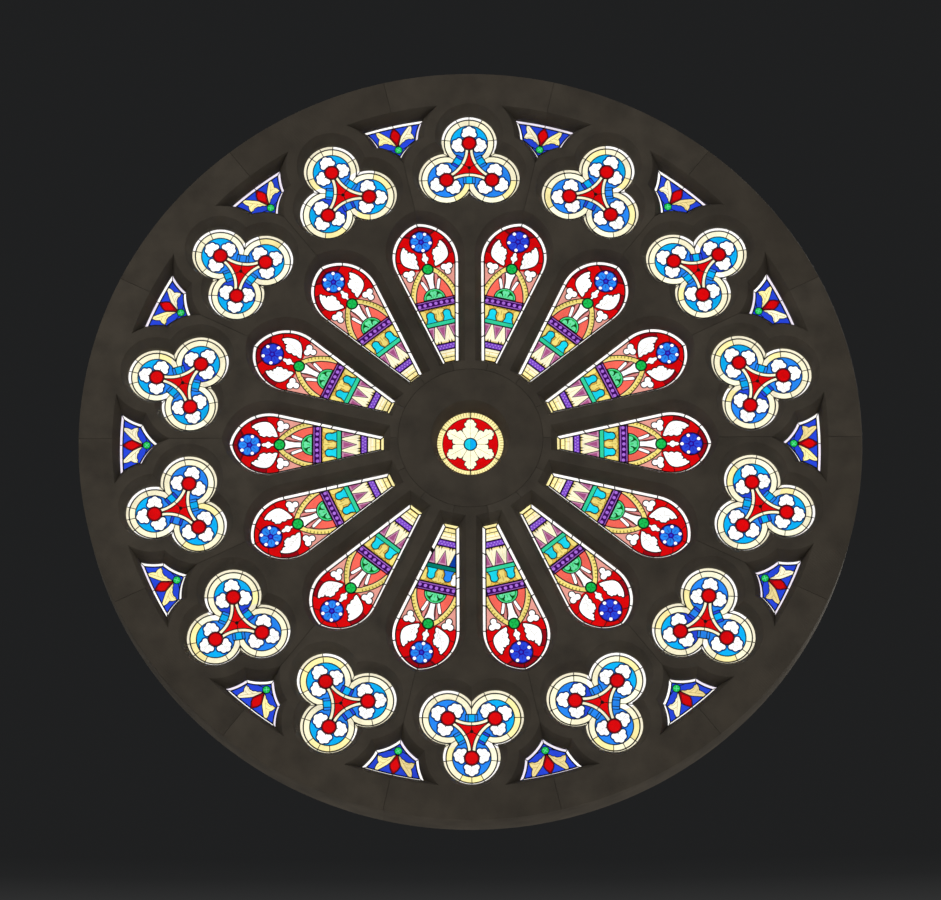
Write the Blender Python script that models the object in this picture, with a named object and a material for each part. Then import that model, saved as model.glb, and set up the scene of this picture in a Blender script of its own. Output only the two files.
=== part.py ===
"""Gothic rose window: a pierced stone wheel holding forty-three leaded stained glass panels.

The window stands upright in the XZ plane. Its inner side, the one seen from within the building, faces -Y,
and the weather side faces +Y. The origin is the middle of the flat bed under the rim, at mid thickness.
Outlines are drawn flat, as points (x, r): r runs outwards along a light's own axis from the centre of the
window and x runs clockwise across it. Each outline takes a grow, the distance it is offset outwards, so
that the sight line, the chamfer, the rebate and the panel of one light all come from one description.
"""

import math

import bmesh
import bpy

# Driving dimensions, in metres
SECTORS = 14  # petals, trefoils and spandrels each
STONE_THICKNESS = 0.300
ROUNDEL_R = 0.229  # sight radius of the round light in the hub
HUB_R = 0.500  # outside of the hub stone
FOOT_LAND = 0.100  # stone between the hub joint and the foot of a petal
SPOKE_WIDTH = 0.162
TREFOIL_RING_R = 2.050  # circle through the trefoils' centres
TREFOIL_WEB = 0.168  # stone between one trefoil and the next
LOBE_FULLNESS = 1.056  # a lobe's radius over its centre's distance from the trefoil's centre
SPANDREL_SIDE_BAR = 0.167  # stone between a spandrel and the outer lobes beside it
SPANDREL_FOOT_BAR = 0.157  # stone between a spandrel and the inner lobes under it
SPANDREL_DROP = 0.006  # from the top of the trefoils down to the top of the spandrels
PETAL_CROWN = 0.383  # the trefoils' circle down to the point of a petal
PETAL_HEAD_RISE = 0.334  # springing of a petal's pointed head up to its point
RIM_WIDTH = 0.270  # stone outside the trefoils
CHAMFER_DEPTH = 0.100  # inner side only
ROUNDEL_CHAMFER_DEPTH = 0.125
CHAMFER_WIDTH = 0.045
REBATE = 0.012  # step that each panel bears against, from the weather side
PANEL_THICKNESS = 0.008
FIT_GAP = 0.0003  # between any two pieces that touch

# Fineness of the round stretches
LOBE_STEPS = 7
HEAD_STEPS = 4
SPANDREL_STEPS = 2
ROUNDEL_STEPS = 24
HUB_STEPS_PER_SECTOR = 2
RIM_STEPS_PER_SECTOR = 5  # odd, so that a flat bed lies at the very bottom
CUTTER_OVERRUN = 0.020  # how far a cutter runs past the faces

# Places that follow from them
HALF_PITCH = math.pi / SECTORS
LOBE_STEP = 2 * math.pi / 3
LOBE_OFFSET = (TREFOIL_RING_R * math.sin(HALF_PITCH) - TREFOIL_WEB / 2) / (
    LOBE_FULLNESS + math.sin(LOBE_STEP) * math.cos(HALF_PITCH) - math.cos(LOBE_STEP) * math.sin(HALF_PITCH)
)  # keeps the web between the inner lobes of neighbours
LOBE_R = LOBE_FULLNESS * LOBE_OFFSET
GLASS_CIRCLE_R = TREFOIL_RING_R + LOBE_OFFSET + LOBE_R
RIM_R = GLASS_CIRCLE_R + RIM_WIDTH
PETAL_FOOT_R = HUB_R + FOOT_LAND
PETAL_APEX_R = TREFOIL_RING_R - PETAL_CROWN
PETAL_SPRING_R = PETAL_APEX_R - PETAL_HEAD_RISE
INNER_FACE_Y = -STONE_THICKNESS / 2
WEATHER_FACE_Y = STONE_THICKNESS / 2
SHOULDER_Y = 0.0


def polar(radius, angle):
    """The flat point (x, r) at this radius and clockwise angle from the axis."""
    return (radius * math.sin(angle), radius * math.cos(angle))


def arc(centre, radius, start, end, steps):
    """Points on an arc about centre, from one clockwise angle to another, both ends included."""
    points = []
    for i in range(steps + 1):
        x, r = polar(radius, start + (end - start) * i / steps)
        points.append((centre[0] + x, centre[1] + r))
    return points


def angle_at(centre, point):
    """The clockwise angle from the axis at which centre sees point."""
    return math.atan2(point[0] - centre[0], point[1] - centre[1])


def crossing(first, first_radius, second, second_radius):
    """Where two circles cross, on the left of the way from the first centre to the second."""
    dx, dr = second[0] - first[0], second[1] - first[1]
    gap = math.hypot(dx, dr)
    along = (gap**2 + first_radius**2 - second_radius**2) / (2 * gap)
    aside = math.sqrt(first_radius**2 - along**2)
    return (
        first[0] + (along * dx - aside * dr) / gap,
        first[1] + (along * dr + aside * dx) / gap,
    )


def lobe_centre(index):
    """A lobe's centre on the trefoil's own axis: 0 is the outer lobe, 1 and 2 follow clockwise."""
    x, r = polar(LOBE_OFFSET, LOBE_STEP * index)
    return (x, TREFOIL_RING_R + r)


def seen_from_petal(point):
    """A point of the trefoil that follows a petal clockwise, on the petal's axis."""
    radius, angle = math.hypot(*point), math.atan2(*point)
    return polar(radius, angle + HALF_PITCH)


# The lobes that border the gap between two neighbouring trefoils, seen from the petal's axis
OUTER_LOBE = seen_from_petal(lobe_centre(0))
INNER_LOBE = seen_from_petal(lobe_centre(2))


def roundel_outline(grow):
    return arc((0, 0), ROUNDEL_R + grow, 0, 2 * math.pi, ROUNDEL_STEPS)[:-1]


def trefoil_outline(grow):
    """Three round lobes that meet in cusps."""
    radius = LOBE_R + grow
    to_cusp = math.acos(LOBE_OFFSET * math.sin(LOBE_STEP) / radius)
    half_span = LOBE_STEP + math.pi / 6 - to_cusp
    points = []
    for index in range(3):
        out = LOBE_STEP * index
        lobe = arc(lobe_centre(index), radius, out - half_span, out + half_span, LOBE_STEPS)
        points += lobe[:-1]
    return points


def petal_side_x(r, grow):
    """Half the width of a petal between its straight sides, which are parallel to the spokes."""
    return (r * math.sin(HALF_PITCH) - SPOKE_WIDTH / 2 + grow) / math.cos(HALF_PITCH)


def petal_outline(grow):
    """A straight foot, straight sides along the spokes and a pointed head of two arcs tangent to them."""
    spring = (petal_side_x(PETAL_SPRING_R, 0), PETAL_SPRING_R)
    outwards = (math.cos(HALF_PITCH), -math.sin(HALF_PITCH))
    rise = PETAL_APEX_R - PETAL_SPRING_R
    radius = (spring[0] ** 2 + rise**2) / (2 * (spring[0] * outwards[0] - rise * outwards[1]))
    centre = (spring[0] - radius * outwards[0], spring[1] - radius * outwards[1])
    reach = radius + grow
    apex = (0, centre[1] + math.sqrt(reach**2 - centre[0] ** 2))
    start = math.pi / 2 + HALF_PITCH
    right = arc(centre, reach, start, angle_at(centre, apex), HEAD_STEPS)
    foot_r = PETAL_FOOT_R - grow
    right.insert(0, (petal_side_x(foot_r, grow), foot_r))
    left = [(-x, r) for x, r in reversed(right[:-1])]
    return right + left


def spandrel_outline(grow):
    """An arc under the rim, and four arcs struck from the lobes on either side."""
    side_reach = LOBE_R + SPANDREL_SIDE_BAR - grow
    foot_reach = LOBE_R + SPANDREL_FOOT_BAR - grow
    top_r = GLASS_CIRCLE_R - SPANDREL_DROP + grow
    corner = crossing((0, 0), top_r, OUTER_LOBE, side_reach)
    waist = crossing(INNER_LOBE, foot_reach, OUTER_LOBE, side_reach)
    tip = (0, INNER_LOBE[1] + math.sqrt(foot_reach**2 - INNER_LOBE[0] ** 2))
    side = arc(
        OUTER_LOBE, side_reach, angle_at(OUTER_LOBE, corner), angle_at(OUTER_LOBE, waist), SPANDREL_STEPS
    )
    lower = arc(
        INNER_LOBE, foot_reach, angle_at(INNER_LOBE, waist), angle_at(INNER_LOBE, tip), SPANDREL_STEPS
    )
    right = side[:-1] + lower
    left = [(-x, r) for x, r in reversed(right[:-1])]
    edge = math.atan2(*corner)
    top = arc((0, 0), top_r, -edge, edge, SPANDREL_STEPS)
    return right + left + top[1:-1]


def loft(name, sections):
    """A closed mesh through flat outlines, given as (y, outline) pairs with one number of points."""
    mesh = bpy.data.meshes.new(name)
    shape = bmesh.new()
    rings = [[shape.verts.new((x, y, r)) for x, r in outline] for y, outline in sections]
    for ring, following in zip(rings, rings[1:]):
        for i in range(len(ring)):
            j = (i + 1) % len(ring)
            shape.faces.new((ring[i], ring[j], following[j], following[i]))
    shape.faces.new(rings[0])
    shape.faces.new(rings[-1])
    bmesh.ops.recalc_face_normals(shape, faces=shape.faces)
    shape.to_mesh(mesh)
    shape.free()
    return mesh


def light_cutter(name, outline, turn=0.0, chamfer_depth=CHAMFER_DEPTH):
    """Cuts one light: chamfer on the inner side, straight reveal, then the rebate to the weather side."""
    sections = [
        (INNER_FACE_Y - CUTTER_OVERRUN, outline(CHAMFER_WIDTH)),
        (INNER_FACE_Y, outline(CHAMFER_WIDTH)),
        (INNER_FACE_Y + chamfer_depth, outline(0)),
        (SHOULDER_Y, outline(0)),
        (SHOULDER_Y, outline(REBATE)),
        (WEATHER_FACE_Y + CUTTER_OVERRUN, outline(REBATE)),
    ]
    cutter = bpy.data.objects.new(name, loft(name, sections))
    cutter.rotation_euler.y = turn
    cutter.hide_render = True
    cutter.display_type = "WIRE"
    bpy.context.scene.collection.objects.link(cutter)
    return cutter


def cut_mesh(name, blank, cutters):
    """The mesh left of a stone blank once the cutters are taken out of it."""
    stone = bpy.data.objects.new(name, blank)
    bpy.context.scene.collection.objects.link(stone)
    for cutter in cutters:
        cut = stone.modifiers.new(cutter.name, "BOOLEAN")
        cut.operation = "DIFFERENCE"
        cut.object = cutter
    bpy.context.view_layer.update()
    graph = bpy.context.evaluated_depsgraph_get()
    mesh = bpy.data.meshes.new_from_object(stone.evaluated_get(graph))
    for finished in (stone, *cutters):
        bpy.data.objects.remove(finished)
    return mesh


def hub_mesh():
    """The round hub stone, pierced by the roundel."""
    steps = HUB_STEPS_PER_SECTOR * SECTORS
    edge = arc((0, 0), HUB_R, HALF_PITCH, HALF_PITCH + 2 * math.pi, steps)[:-1]
    blank = loft("hub_blank", [(INNER_FACE_Y, edge), (WEATHER_FACE_Y, edge)])
    cutter = light_cutter("roundel_cutter", roundel_outline, chamfer_depth=ROUNDEL_CHAMFER_DEPTH)
    return cut_mesh("hub_blank", blank, [cutter])


def sector_edge(radius, steps):
    """An arc from one joint of a sector stone to the other, short of each by half the gap."""
    half = HALF_PITCH - FIT_GAP / 2 / radius
    return arc((0, 0), radius, -half, half, steps)


def sector_mesh():
    """One tracery stone: a spoke, its trefoil, and half of the petal and spandrel on either side."""
    inner = sector_edge(HUB_R + FIT_GAP, HUB_STEPS_PER_SECTOR)
    outer = sector_edge(RIM_R / math.cos(HALF_PITCH / RIM_STEPS_PER_SECTOR), RIM_STEPS_PER_SECTOR)
    edge = outer + inner[::-1]
    blank = loft("sector_blank", [(INNER_FACE_Y, edge), (WEATHER_FACE_Y, edge)])
    cutters = [light_cutter("trefoil_cutter", trefoil_outline)]
    for side, turn in (("left", -HALF_PITCH), ("right", HALF_PITCH)):
        cutters.append(light_cutter(f"petal_cutter_{side}", petal_outline, turn))
        cutters.append(light_cutter(f"spandrel_cutter_{side}", spandrel_outline, turn))
    return cut_mesh("sector_blank", blank, cutters)


def panel_mesh(name, outline):
    """A leaded panel that fills its rebate and bears against the shoulder."""
    front = SHOULDER_Y + FIT_GAP
    edge = outline(REBATE - FIT_GAP)
    return loft(name, [(front, edge), (front + PANEL_THICKNESS, edge)])


def surface(name, colour, roughness, metallic=0.0):
    material = bpy.data.materials.new(name)
    material.use_nodes = True
    shader = material.node_tree.nodes["Principled BSDF"]
    shader.inputs["Base Color"].default_value = (*colour, 1.0)
    shader.inputs["Roughness"].default_value = roughness
    shader.inputs["Metallic"].default_value = metallic
    material.diffuse_color = (*colour, 1.0)
    return material


def place(name, mesh, material, centre, turn=0.0):
    """A piece on the window's centre, turned clockwise by an angle."""
    piece = bpy.data.objects.new(name, mesh)
    if not mesh.materials:
        mesh.materials.append(material)
    piece.parent = centre
    piece.rotation_euler.y = turn
    bpy.context.scene.collection.objects.link(piece)
    return piece


def build():
    for old in list(bpy.data.objects):
        bpy.data.objects.remove(old)
    centre = bpy.data.objects.new("window_centre", None)
    centre.location.z = RIM_R
    bpy.context.scene.collection.objects.link(centre)

    limestone = surface("limestone", (0.30, 0.27, 0.22), 0.9)
    red_glass = surface("petal_glass", (0.70, 0.08, 0.08), 0.2)
    sky_glass = surface("trefoil_glass", (0.30, 0.62, 0.85), 0.2)
    blue_glass = surface("spandrel_glass", (0.10, 0.20, 0.80), 0.2)
    gold_glass = surface("roundel_glass", (0.90, 0.75, 0.35), 0.2)

    place("hub_stone", hub_mesh(), limestone, centre)
    place("roundel_glazing", panel_mesh("roundel_panel", roundel_outline), gold_glass, centre)
    kinds = (
        ("tracery_stone", sector_mesh(), limestone, 0),
        ("trefoil_glazing", panel_mesh("trefoil_panel", trefoil_outline), sky_glass, 0),
        ("petal_glazing", panel_mesh("petal_panel", petal_outline), red_glass, 1),
        ("spandrel_glazing", panel_mesh("spandrel_panel", spandrel_outline), blue_glass, 1),
    )
    for number in range(SECTORS):
        for name, mesh, material, half_steps in kinds:
            turn = (2 * number + half_steps) * HALF_PITCH
            place(f"{name}_{number + 1:02d}", mesh, material, centre, turn)


build()
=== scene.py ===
import math
import random

import bmesh
import bpy
from mathutils import Matrix, Vector
from mathutils.geometry import delaunay_2d_cdt, intersect_line_line_2d


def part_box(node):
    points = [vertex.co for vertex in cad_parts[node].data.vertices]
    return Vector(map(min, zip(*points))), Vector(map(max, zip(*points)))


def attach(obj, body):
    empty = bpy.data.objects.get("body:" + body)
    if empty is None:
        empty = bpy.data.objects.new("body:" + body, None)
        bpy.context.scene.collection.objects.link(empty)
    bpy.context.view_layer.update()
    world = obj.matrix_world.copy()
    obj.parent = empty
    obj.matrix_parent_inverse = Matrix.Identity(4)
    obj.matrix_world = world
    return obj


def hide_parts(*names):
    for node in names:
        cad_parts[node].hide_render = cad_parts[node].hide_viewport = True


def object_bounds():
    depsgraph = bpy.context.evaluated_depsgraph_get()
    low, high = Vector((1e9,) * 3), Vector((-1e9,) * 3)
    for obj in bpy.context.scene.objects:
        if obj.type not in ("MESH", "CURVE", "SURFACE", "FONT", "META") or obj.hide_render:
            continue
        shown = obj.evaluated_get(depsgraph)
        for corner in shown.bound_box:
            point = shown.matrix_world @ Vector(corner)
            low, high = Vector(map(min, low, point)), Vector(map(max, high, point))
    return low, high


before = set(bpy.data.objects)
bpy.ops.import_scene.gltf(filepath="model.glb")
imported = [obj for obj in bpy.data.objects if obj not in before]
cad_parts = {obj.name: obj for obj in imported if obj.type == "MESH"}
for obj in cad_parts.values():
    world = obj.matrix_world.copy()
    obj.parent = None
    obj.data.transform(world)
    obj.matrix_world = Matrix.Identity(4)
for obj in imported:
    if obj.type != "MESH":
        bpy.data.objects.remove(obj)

# Places read from the frame, in metres; the inner side of the window faces -Y
CAD_BOX = [list(corner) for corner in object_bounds()]
CENTRE_Z = (CAD_BOX[0][2] + CAD_BOX[1][2]) / 2
RIM_R = CENTRE_Z - CAD_BOX[0][2]
INNER_FACE_Y = CAD_BOX[0][1]
WEATHER_FACE_Y = CAD_BOX[1][1]
PANEL_FRONT_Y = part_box("roundel_glazing")[0][1]
PANEL_BACK_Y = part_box("roundel_glazing")[1][1]

# The stone's driving dimensions, as in the solids
SECTORS = 14
HALF_PITCH = math.pi / SECTORS
ROUNDEL_R = 0.229
HUB_R = 0.500
PETAL_FOOT_R = 0.600
SPOKE_WIDTH = 0.162
TREFOIL_RING_R = 2.050
TREFOIL_WEB = 0.168
LOBE_FULLNESS = 1.056
SPANDREL_SIDE_BAR = 0.167
SPANDREL_FOOT_BAR = 0.157
SPANDREL_DROP = 0.006
PETAL_APEX_R = 1.667
PETAL_SPRING_R = 1.333
CHAMFER_DEPTH = 0.100
ROUNDEL_CHAMFER_DEPTH = 0.125
CHAMFER_WIDTH = 0.045
REBATE = 0.012
FIT_GAP = 0.0003
ARRIS = 0.004  # worn edge between two dressed faces
JOINT_ARRIS = 0.003  # the same at the joints between stones
WELD = 1e-6  # points of a stone closer than this are one
SHARP_ANGLE = math.radians(32)

# Fineness of the round stretches
LOBE_STEPS = 26
HEAD_STEPS = 16
SPANDREL_STEPS = 8
ROUNDEL_STEPS = 64
HUB_STEPS_PER_SECTOR = 8
RIM_STEPS_PER_SECTOR = 16

# Seeds of each drawing's choices, to which a light's number is added
PETAL_SEED = 100
TREFOIL_SEED = 200
SPANDREL_SEED = 300
ROUNDEL_SEED = 400
STONE_SEED = 7

# Leadwork
GLASS_THICKNESS = 0.004
EDGE_CAME = 0.011  # round the whole panel, behind the stone's shoulder
BORDER_CAME = 0.0094
CAME = 0.0078
FINE_CAME = 0.0058
CAME_FLAT = 0.30  # half of the flat on a came's back, as a share of its width
LEAD_STAGGER = 0.0001  # crossing leads differ in height, so that no faces coincide
LEAD_STAGGERS = 7
FILLET = 0.0215  # white strip inside the sight line
LOBE_BAND_R = 0.131  # inner edge of the cream band round a trefoil's lobe
TREFOIL_FILLET = 0.0205

LOBE_STEP = 2 * math.pi / 3
LOBE_OFFSET = (TREFOIL_RING_R * math.sin(HALF_PITCH) - TREFOIL_WEB / 2) / (
    LOBE_FULLNESS + math.sin(LOBE_STEP) * math.cos(HALF_PITCH) - math.cos(LOBE_STEP) * math.sin(HALF_PITCH)
)
LOBE_R = LOBE_FULLNESS * LOBE_OFFSET
GLASS_CIRCLE_R = TREFOIL_RING_R + LOBE_OFFSET + LOBE_R


# Flat drawing: points are (x, r), r outwards along a light's axis and x clockwise across it

def polar(radius, angle):
    return (radius * math.sin(angle), radius * math.cos(angle))


def add(a, b):
    return (a[0] + b[0], a[1] + b[1])


def turned(points, angle):
    """Points turned clockwise about the origin."""
    c, s = math.cos(angle), math.sin(angle)
    return [(x * c + r * s, r * c - x * s) for x, r in points]


def moved(points, step):
    return [add(point, step) for point in points]


def mirrored(points):
    return [(-x, r) for x, r in reversed(points)]


def arc(centre, radius, start, end, steps):
    """Points on an arc, from one clockwise angle to another, both ends included."""
    return [
        add(centre, polar(radius, start + (end - start) * i / steps)) for i in range(steps + 1)
    ]


def disc(centre, radius, steps):
    return arc(centre, radius, 0, -2 * math.pi, steps)[:-1]


def angle_at(centre, point):
    return math.atan2(point[0] - centre[0], point[1] - centre[1])


def crossing(first, first_radius, second, second_radius):
    """Where two circles cross, on the left of the way from the first centre to the second."""
    dx, dr = second[0] - first[0], second[1] - first[1]
    gap = math.hypot(dx, dr)
    along = (gap**2 + first_radius**2 - second_radius**2) / (2 * gap)
    aside = math.sqrt(first_radius**2 - along**2)
    return (
        first[0] + (along * dx - aside * dr) / gap,
        first[1] + (along * dr + aside * dx) / gap,
    )


def scallops(points, swells, steps):
    """A closed outline through points, taken anticlockwise, each side swelling outwards by its share."""
    outline = []
    for i, start in enumerate(points):
        end = points[(i + 1) % len(points)]
        dx, dr = end[0] - start[0], end[1] - start[1]
        for step in range(steps):
            t = step / steps
            swell = swells[i] * math.sin(math.pi * t)
            outline.append((start[0] + dx * t + dr * swell, start[1] + dr * t - dx * swell))
    return outline


def bouquet(circles, count):
    """The outline round a bunch of overlapping circles, each (x, r, radius), seen from their middle."""
    middle = (
        sum(circle[0] for circle in circles) / len(circles),
        sum(circle[1] for circle in circles) / len(circles),
    )
    outline = []
    for i in range(count):
        ray = polar(1, -2 * math.pi * i / count)
        reach = min(circle[2] for circle in circles) / 2
        for x, r, radius in circles:
            along = (x - middle[0]) * ray[0] + (r - middle[1]) * ray[1]
            aside = (x - middle[0]) * ray[1] - (r - middle[1]) * ray[0]
            if abs(aside) < radius:
                reach = max(reach, along + math.sqrt(radius**2 - aside**2))
        outline.append((middle[0] + ray[0] * reach, middle[1] + ray[1] * reach))
    return outline


def grown(circles, by):
    return [(x, r, radius + by) for x, r, radius in circles]


def inside(point, outline):
    """True if the point lies inside the closed outline."""
    x, r = point
    within = False
    for (ax, ar), (bx, br) in zip(outline, outline[1:] + outline[:1]):
        if (ar > r) != (br > r) and x < ax + (bx - ax) * (r - ar) / (br - ar):
            within = not within
    return within


def clipped(points, outline, keep_inside=True):
    """The stretches of a line that lie inside an outline, or outside it."""
    stretches, current = [], []
    for start, end in zip(points, points[1:]):
        cuts = []
        for a, b in zip(outline, outline[1:] + outline[:1]):
            hit = intersect_line_line_2d(start, end, a, b)
            if hit:
                cuts.append(tuple(hit))
        stops = [start, *sorted(cuts, key=lambda p: math.dist(start, p)), end]
        for a, b in zip(stops, stops[1:]):
            if inside(((a[0] + b[0]) / 2, (a[1] + b[1]) / 2), outline) == keep_inside:
                current = current or [a]
                current.append(b)
            elif current:
                stretches.append(current)
                current = []
    if current:
        stretches.append(current)
    return stretches


# The outlines of the lights, offset outwards by grow

def lobe_centre(index):
    return add((0, TREFOIL_RING_R), polar(LOBE_OFFSET, LOBE_STEP * index))


OUTER_LOBE = turned([lobe_centre(0)], HALF_PITCH)[0]
INNER_LOBE = turned([lobe_centre(2)], HALF_PITCH)[0]


def roundel_outline(grow):
    return arc((0, 0), ROUNDEL_R + grow, 0, 2 * math.pi, ROUNDEL_STEPS)[:-1]


def trefoil_outline(grow):
    radius = LOBE_R + grow
    half_span = LOBE_STEP + math.pi / 6 - math.acos(LOBE_OFFSET * math.sin(LOBE_STEP) / radius)
    points = []
    for index in range(3):
        out = LOBE_STEP * index
        lobe = arc(lobe_centre(index), radius, out - half_span, out + half_span, LOBE_STEPS)
        points += lobe[:-1]
    return points


def petal_side_x(r, grow):
    return (r * math.sin(HALF_PITCH) - SPOKE_WIDTH / 2 + grow) / math.cos(HALF_PITCH)


def petal_outline(grow):
    """Clockwise from the right foot corner; the first arc starts at index 1."""
    spring = (petal_side_x(PETAL_SPRING_R, 0), PETAL_SPRING_R)
    outwards = (math.cos(HALF_PITCH), -math.sin(HALF_PITCH))
    rise = PETAL_APEX_R - PETAL_SPRING_R
    radius = (spring[0] ** 2 + rise**2) / (2 * (spring[0] * outwards[0] - rise * outwards[1]))
    centre = (spring[0] - radius * outwards[0], spring[1] - radius * outwards[1])
    reach = radius + grow
    apex = (0, centre[1] + math.sqrt(reach**2 - centre[0] ** 2))
    start = math.pi / 2 + HALF_PITCH
    right = arc(centre, reach, start, angle_at(centre, apex), HEAD_STEPS)
    foot_r = PETAL_FOOT_R - grow
    right.insert(0, (petal_side_x(foot_r, grow), foot_r))
    return right + mirrored(right[:-1])


def spandrel_outline(grow):
    side_reach = LOBE_R + SPANDREL_SIDE_BAR - grow
    foot_reach = LOBE_R + SPANDREL_FOOT_BAR - grow
    top_r = GLASS_CIRCLE_R - SPANDREL_DROP + grow
    corner = crossing((0, 0), top_r, OUTER_LOBE, side_reach)
    waist = crossing(INNER_LOBE, foot_reach, OUTER_LOBE, side_reach)
    tip = (0, INNER_LOBE[1] + math.sqrt(foot_reach**2 - INNER_LOBE[0] ** 2))
    side = arc(
        OUTER_LOBE, side_reach, angle_at(OUTER_LOBE, corner), angle_at(OUTER_LOBE, waist), SPANDREL_STEPS
    )
    lower = arc(
        INNER_LOBE, foot_reach, angle_at(INNER_LOBE, waist), angle_at(INNER_LOBE, tip), SPANDREL_STEPS
    )
    right = side[:-1] + lower
    edge = math.atan2(*corner)
    top = arc((0, 0), top_r, -edge, edge, 2 * SPANDREL_STEPS)
    return right + mirrored(right[:-1]) + top[1:-1]


# Materials

def new_material(name):
    material = bpy.data.materials.new(name)
    material.use_nodes = True
    nodes = material.node_tree.nodes
    return material, nodes, material.node_tree.links, nodes["Principled BSDF"]


def linear(colour):
    """A display colour, 0 to 255 a channel, as linear light."""
    return [(c / 255 / 12.92) if c < 11 else ((c / 255 + 0.055) / 1.055) ** 2.4 for c in colour]


def attribute(nodes, name):
    node = nodes.new("ShaderNodeAttribute")
    node.attribute_name = name
    return node.outputs["Fac"]


def object_coordinates(nodes):
    node = nodes.get("Texture Coordinate") or nodes.new("ShaderNodeTexCoord")
    return node.outputs["Object"]


def noise(nodes, links, scale, detail, w=None):
    node = nodes.new("ShaderNodeTexNoise")
    node.inputs["Scale"].default_value = scale
    node.inputs["Detail"].default_value = detail
    if w is not None:
        node.noise_dimensions = "4D"
        links.new(w, node.inputs["W"])
    links.new(object_coordinates(nodes), node.inputs["Vector"])
    return node.outputs["Fac"]


def calculate(nodes, links, operation, a, b):
    node = nodes.new("ShaderNodeMath")
    node.operation = operation
    for socket, value in zip(node.inputs, (a, b)):
        if isinstance(value, (int, float)):
            socket.default_value = value
        else:
            links.new(value, socket)
    return node.outputs[0]


def span(nodes, links, value, low, high):
    """A value that runs from 0 to 1, spread between low and high."""
    node = nodes.new("ShaderNodeMapRange")
    node.inputs["To Min"].default_value = low
    node.inputs["To Max"].default_value = high
    links.new(value, node.inputs["Value"])
    return node.outputs[0]


def blend(nodes, links, factor, a, b):
    node = nodes.new("ShaderNodeMix")
    node.data_type = "RGBA"
    links.new(factor, node.inputs["Factor"])
    for socket, value in ((node.inputs["A"], a), (node.inputs["B"], b)):
        if isinstance(value, (list, tuple)):
            socket.default_value = (*value, 1)
        else:
            links.new(value, socket)
    return node.outputs["Result"]


def bump(nodes, links, height, distance, strength):
    node = nodes.new("ShaderNodeBump")
    node.inputs["Distance"].default_value = distance
    node.inputs["Strength"].default_value = strength
    links.new(height, node.inputs["Height"])
    return node.outputs["Normal"]


GLOW = 1.45  # brightness of what shows through clear glass
GLASS_LOSS = 0.92  # share of it that the two faces pass
CLEAREST = 0.97  # the most of any colour that a glass lets through

# Display colours of the glass, as seen against the light; above 255 is brighter than the display shows
GLASS_COLOURS = {
    "white": (292, 292, 292),
    "fillet": (284, 280, 276),
    "pearl": (256, 246, 262),
    "bone": (256, 248, 218),
    "shade": (226, 222, 214),
    "ivory": (278, 274, 238),
    "cream": (268, 260, 222),
    "straw": (270, 254, 178),
    "buff": (250, 228, 158),
    "yellow": (254, 232, 128),
    "gold": (236, 190, 78),
    "olive": (150, 128, 50),
    "ruby": (222, 4, 8),
    "garnet": (150, 4, 18),
    "salmon": (255, 108, 92),
    "pink": (236, 146, 142),
    "blush": (240, 164, 150),
    "sky": (10, 182, 252),
    "azure": (40, 140, 250),
    "royal": (40, 72, 224),
    "cobalt": (10, 66, 176),
    "indigo": (42, 12, 158),
    "cyan": (26, 224, 248),
    "mint": (110, 236, 170),
    "jade": (52, 214, 160),
    "emerald": (26, 196, 84),
    "bottle": (4, 84, 26),
    "teal": (0, 128, 112),
    "violet": (60, 6, 96),
    "lilac": (180, 116, 232),
    "amethyst": (128, 74, 206),
    "wisteria": (186, 146, 244),
    "mauve": (166, 104, 200),
    "plum": (172, 86, 138),
    "rose": (212, 150, 184),
}


def glass_material(name):
    """Antique glass: each pane has its own depth of colour, with streaks, ripples and a film of dust."""
    material, nodes, links, shader = new_material(name + "_glass")
    tint = [min(c / (GLOW * GLASS_LOSS), CLEAREST) for c in linear(GLASS_COLOURS[name])]
    pale = [min(c * 1.12, CLEAREST) for c in tint]
    deep = [c * 0.74 for c in tint]
    tone = attribute(nodes, "tone")
    shift = calculate(nodes, links, "MULTIPLY", tone, 40)
    streaks = noise(nodes, links, 14, 3, shift)
    depth = calculate(nodes, links, "ADD", span(nodes, links, tone, 0.0, 0.35), streaks)
    colour = blend(nodes, links, span(nodes, links, depth, 1.05, -0.05), deep, pale)
    colour = blend(nodes, links, span(nodes, links, depth, 0.9, 0.1), colour, tint)
    links.new(colour, shader.inputs["Base Color"])
    specks = noise(nodes, links, 220, 2)
    links.new(span(nodes, links, specks, 0.08, 0.34), shader.inputs["Roughness"])
    ripple = noise(nodes, links, 38, 4, shift)
    links.new(bump(nodes, links, ripple, 0.0015, 0.5), shader.inputs["Normal"])
    shader.inputs["Transmission Weight"].default_value = 1.0
    shader.inputs["IOR"].default_value = 1.45
    return material


def paint_material():
    """Fired glass paint: near black brown, laid thin enough to show brush marks."""
    material, nodes, links, shader = new_material("trace_paint")
    strokes = noise(nodes, links, 90, 4)
    colour = blend(nodes, links, strokes, (0.010, 0.007, 0.005), (0.045, 0.028, 0.018))
    links.new(colour, shader.inputs["Base Color"])
    links.new(span(nodes, links, strokes, 0.55, 0.85), shader.inputs["Roughness"])
    return material


def lead_material():
    """Old lead: dark grey, dulled, with paler rubbed patches."""
    material, nodes, links, shader = new_material("lead_came")
    patches = noise(nodes, links, 26, 5)
    grain = noise(nodes, links, 400, 3)
    colour = blend(nodes, links, patches, (0.018, 0.019, 0.021), (0.055, 0.056, 0.060))
    links.new(colour, shader.inputs["Base Color"])
    links.new(span(nodes, links, patches, 0.72, 0.42), shader.inputs["Roughness"])
    links.new(bump(nodes, links, grain, 0.0004, 0.6), shader.inputs["Normal"])
    shader.inputs["Metallic"].default_value = 0.55
    return material


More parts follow.
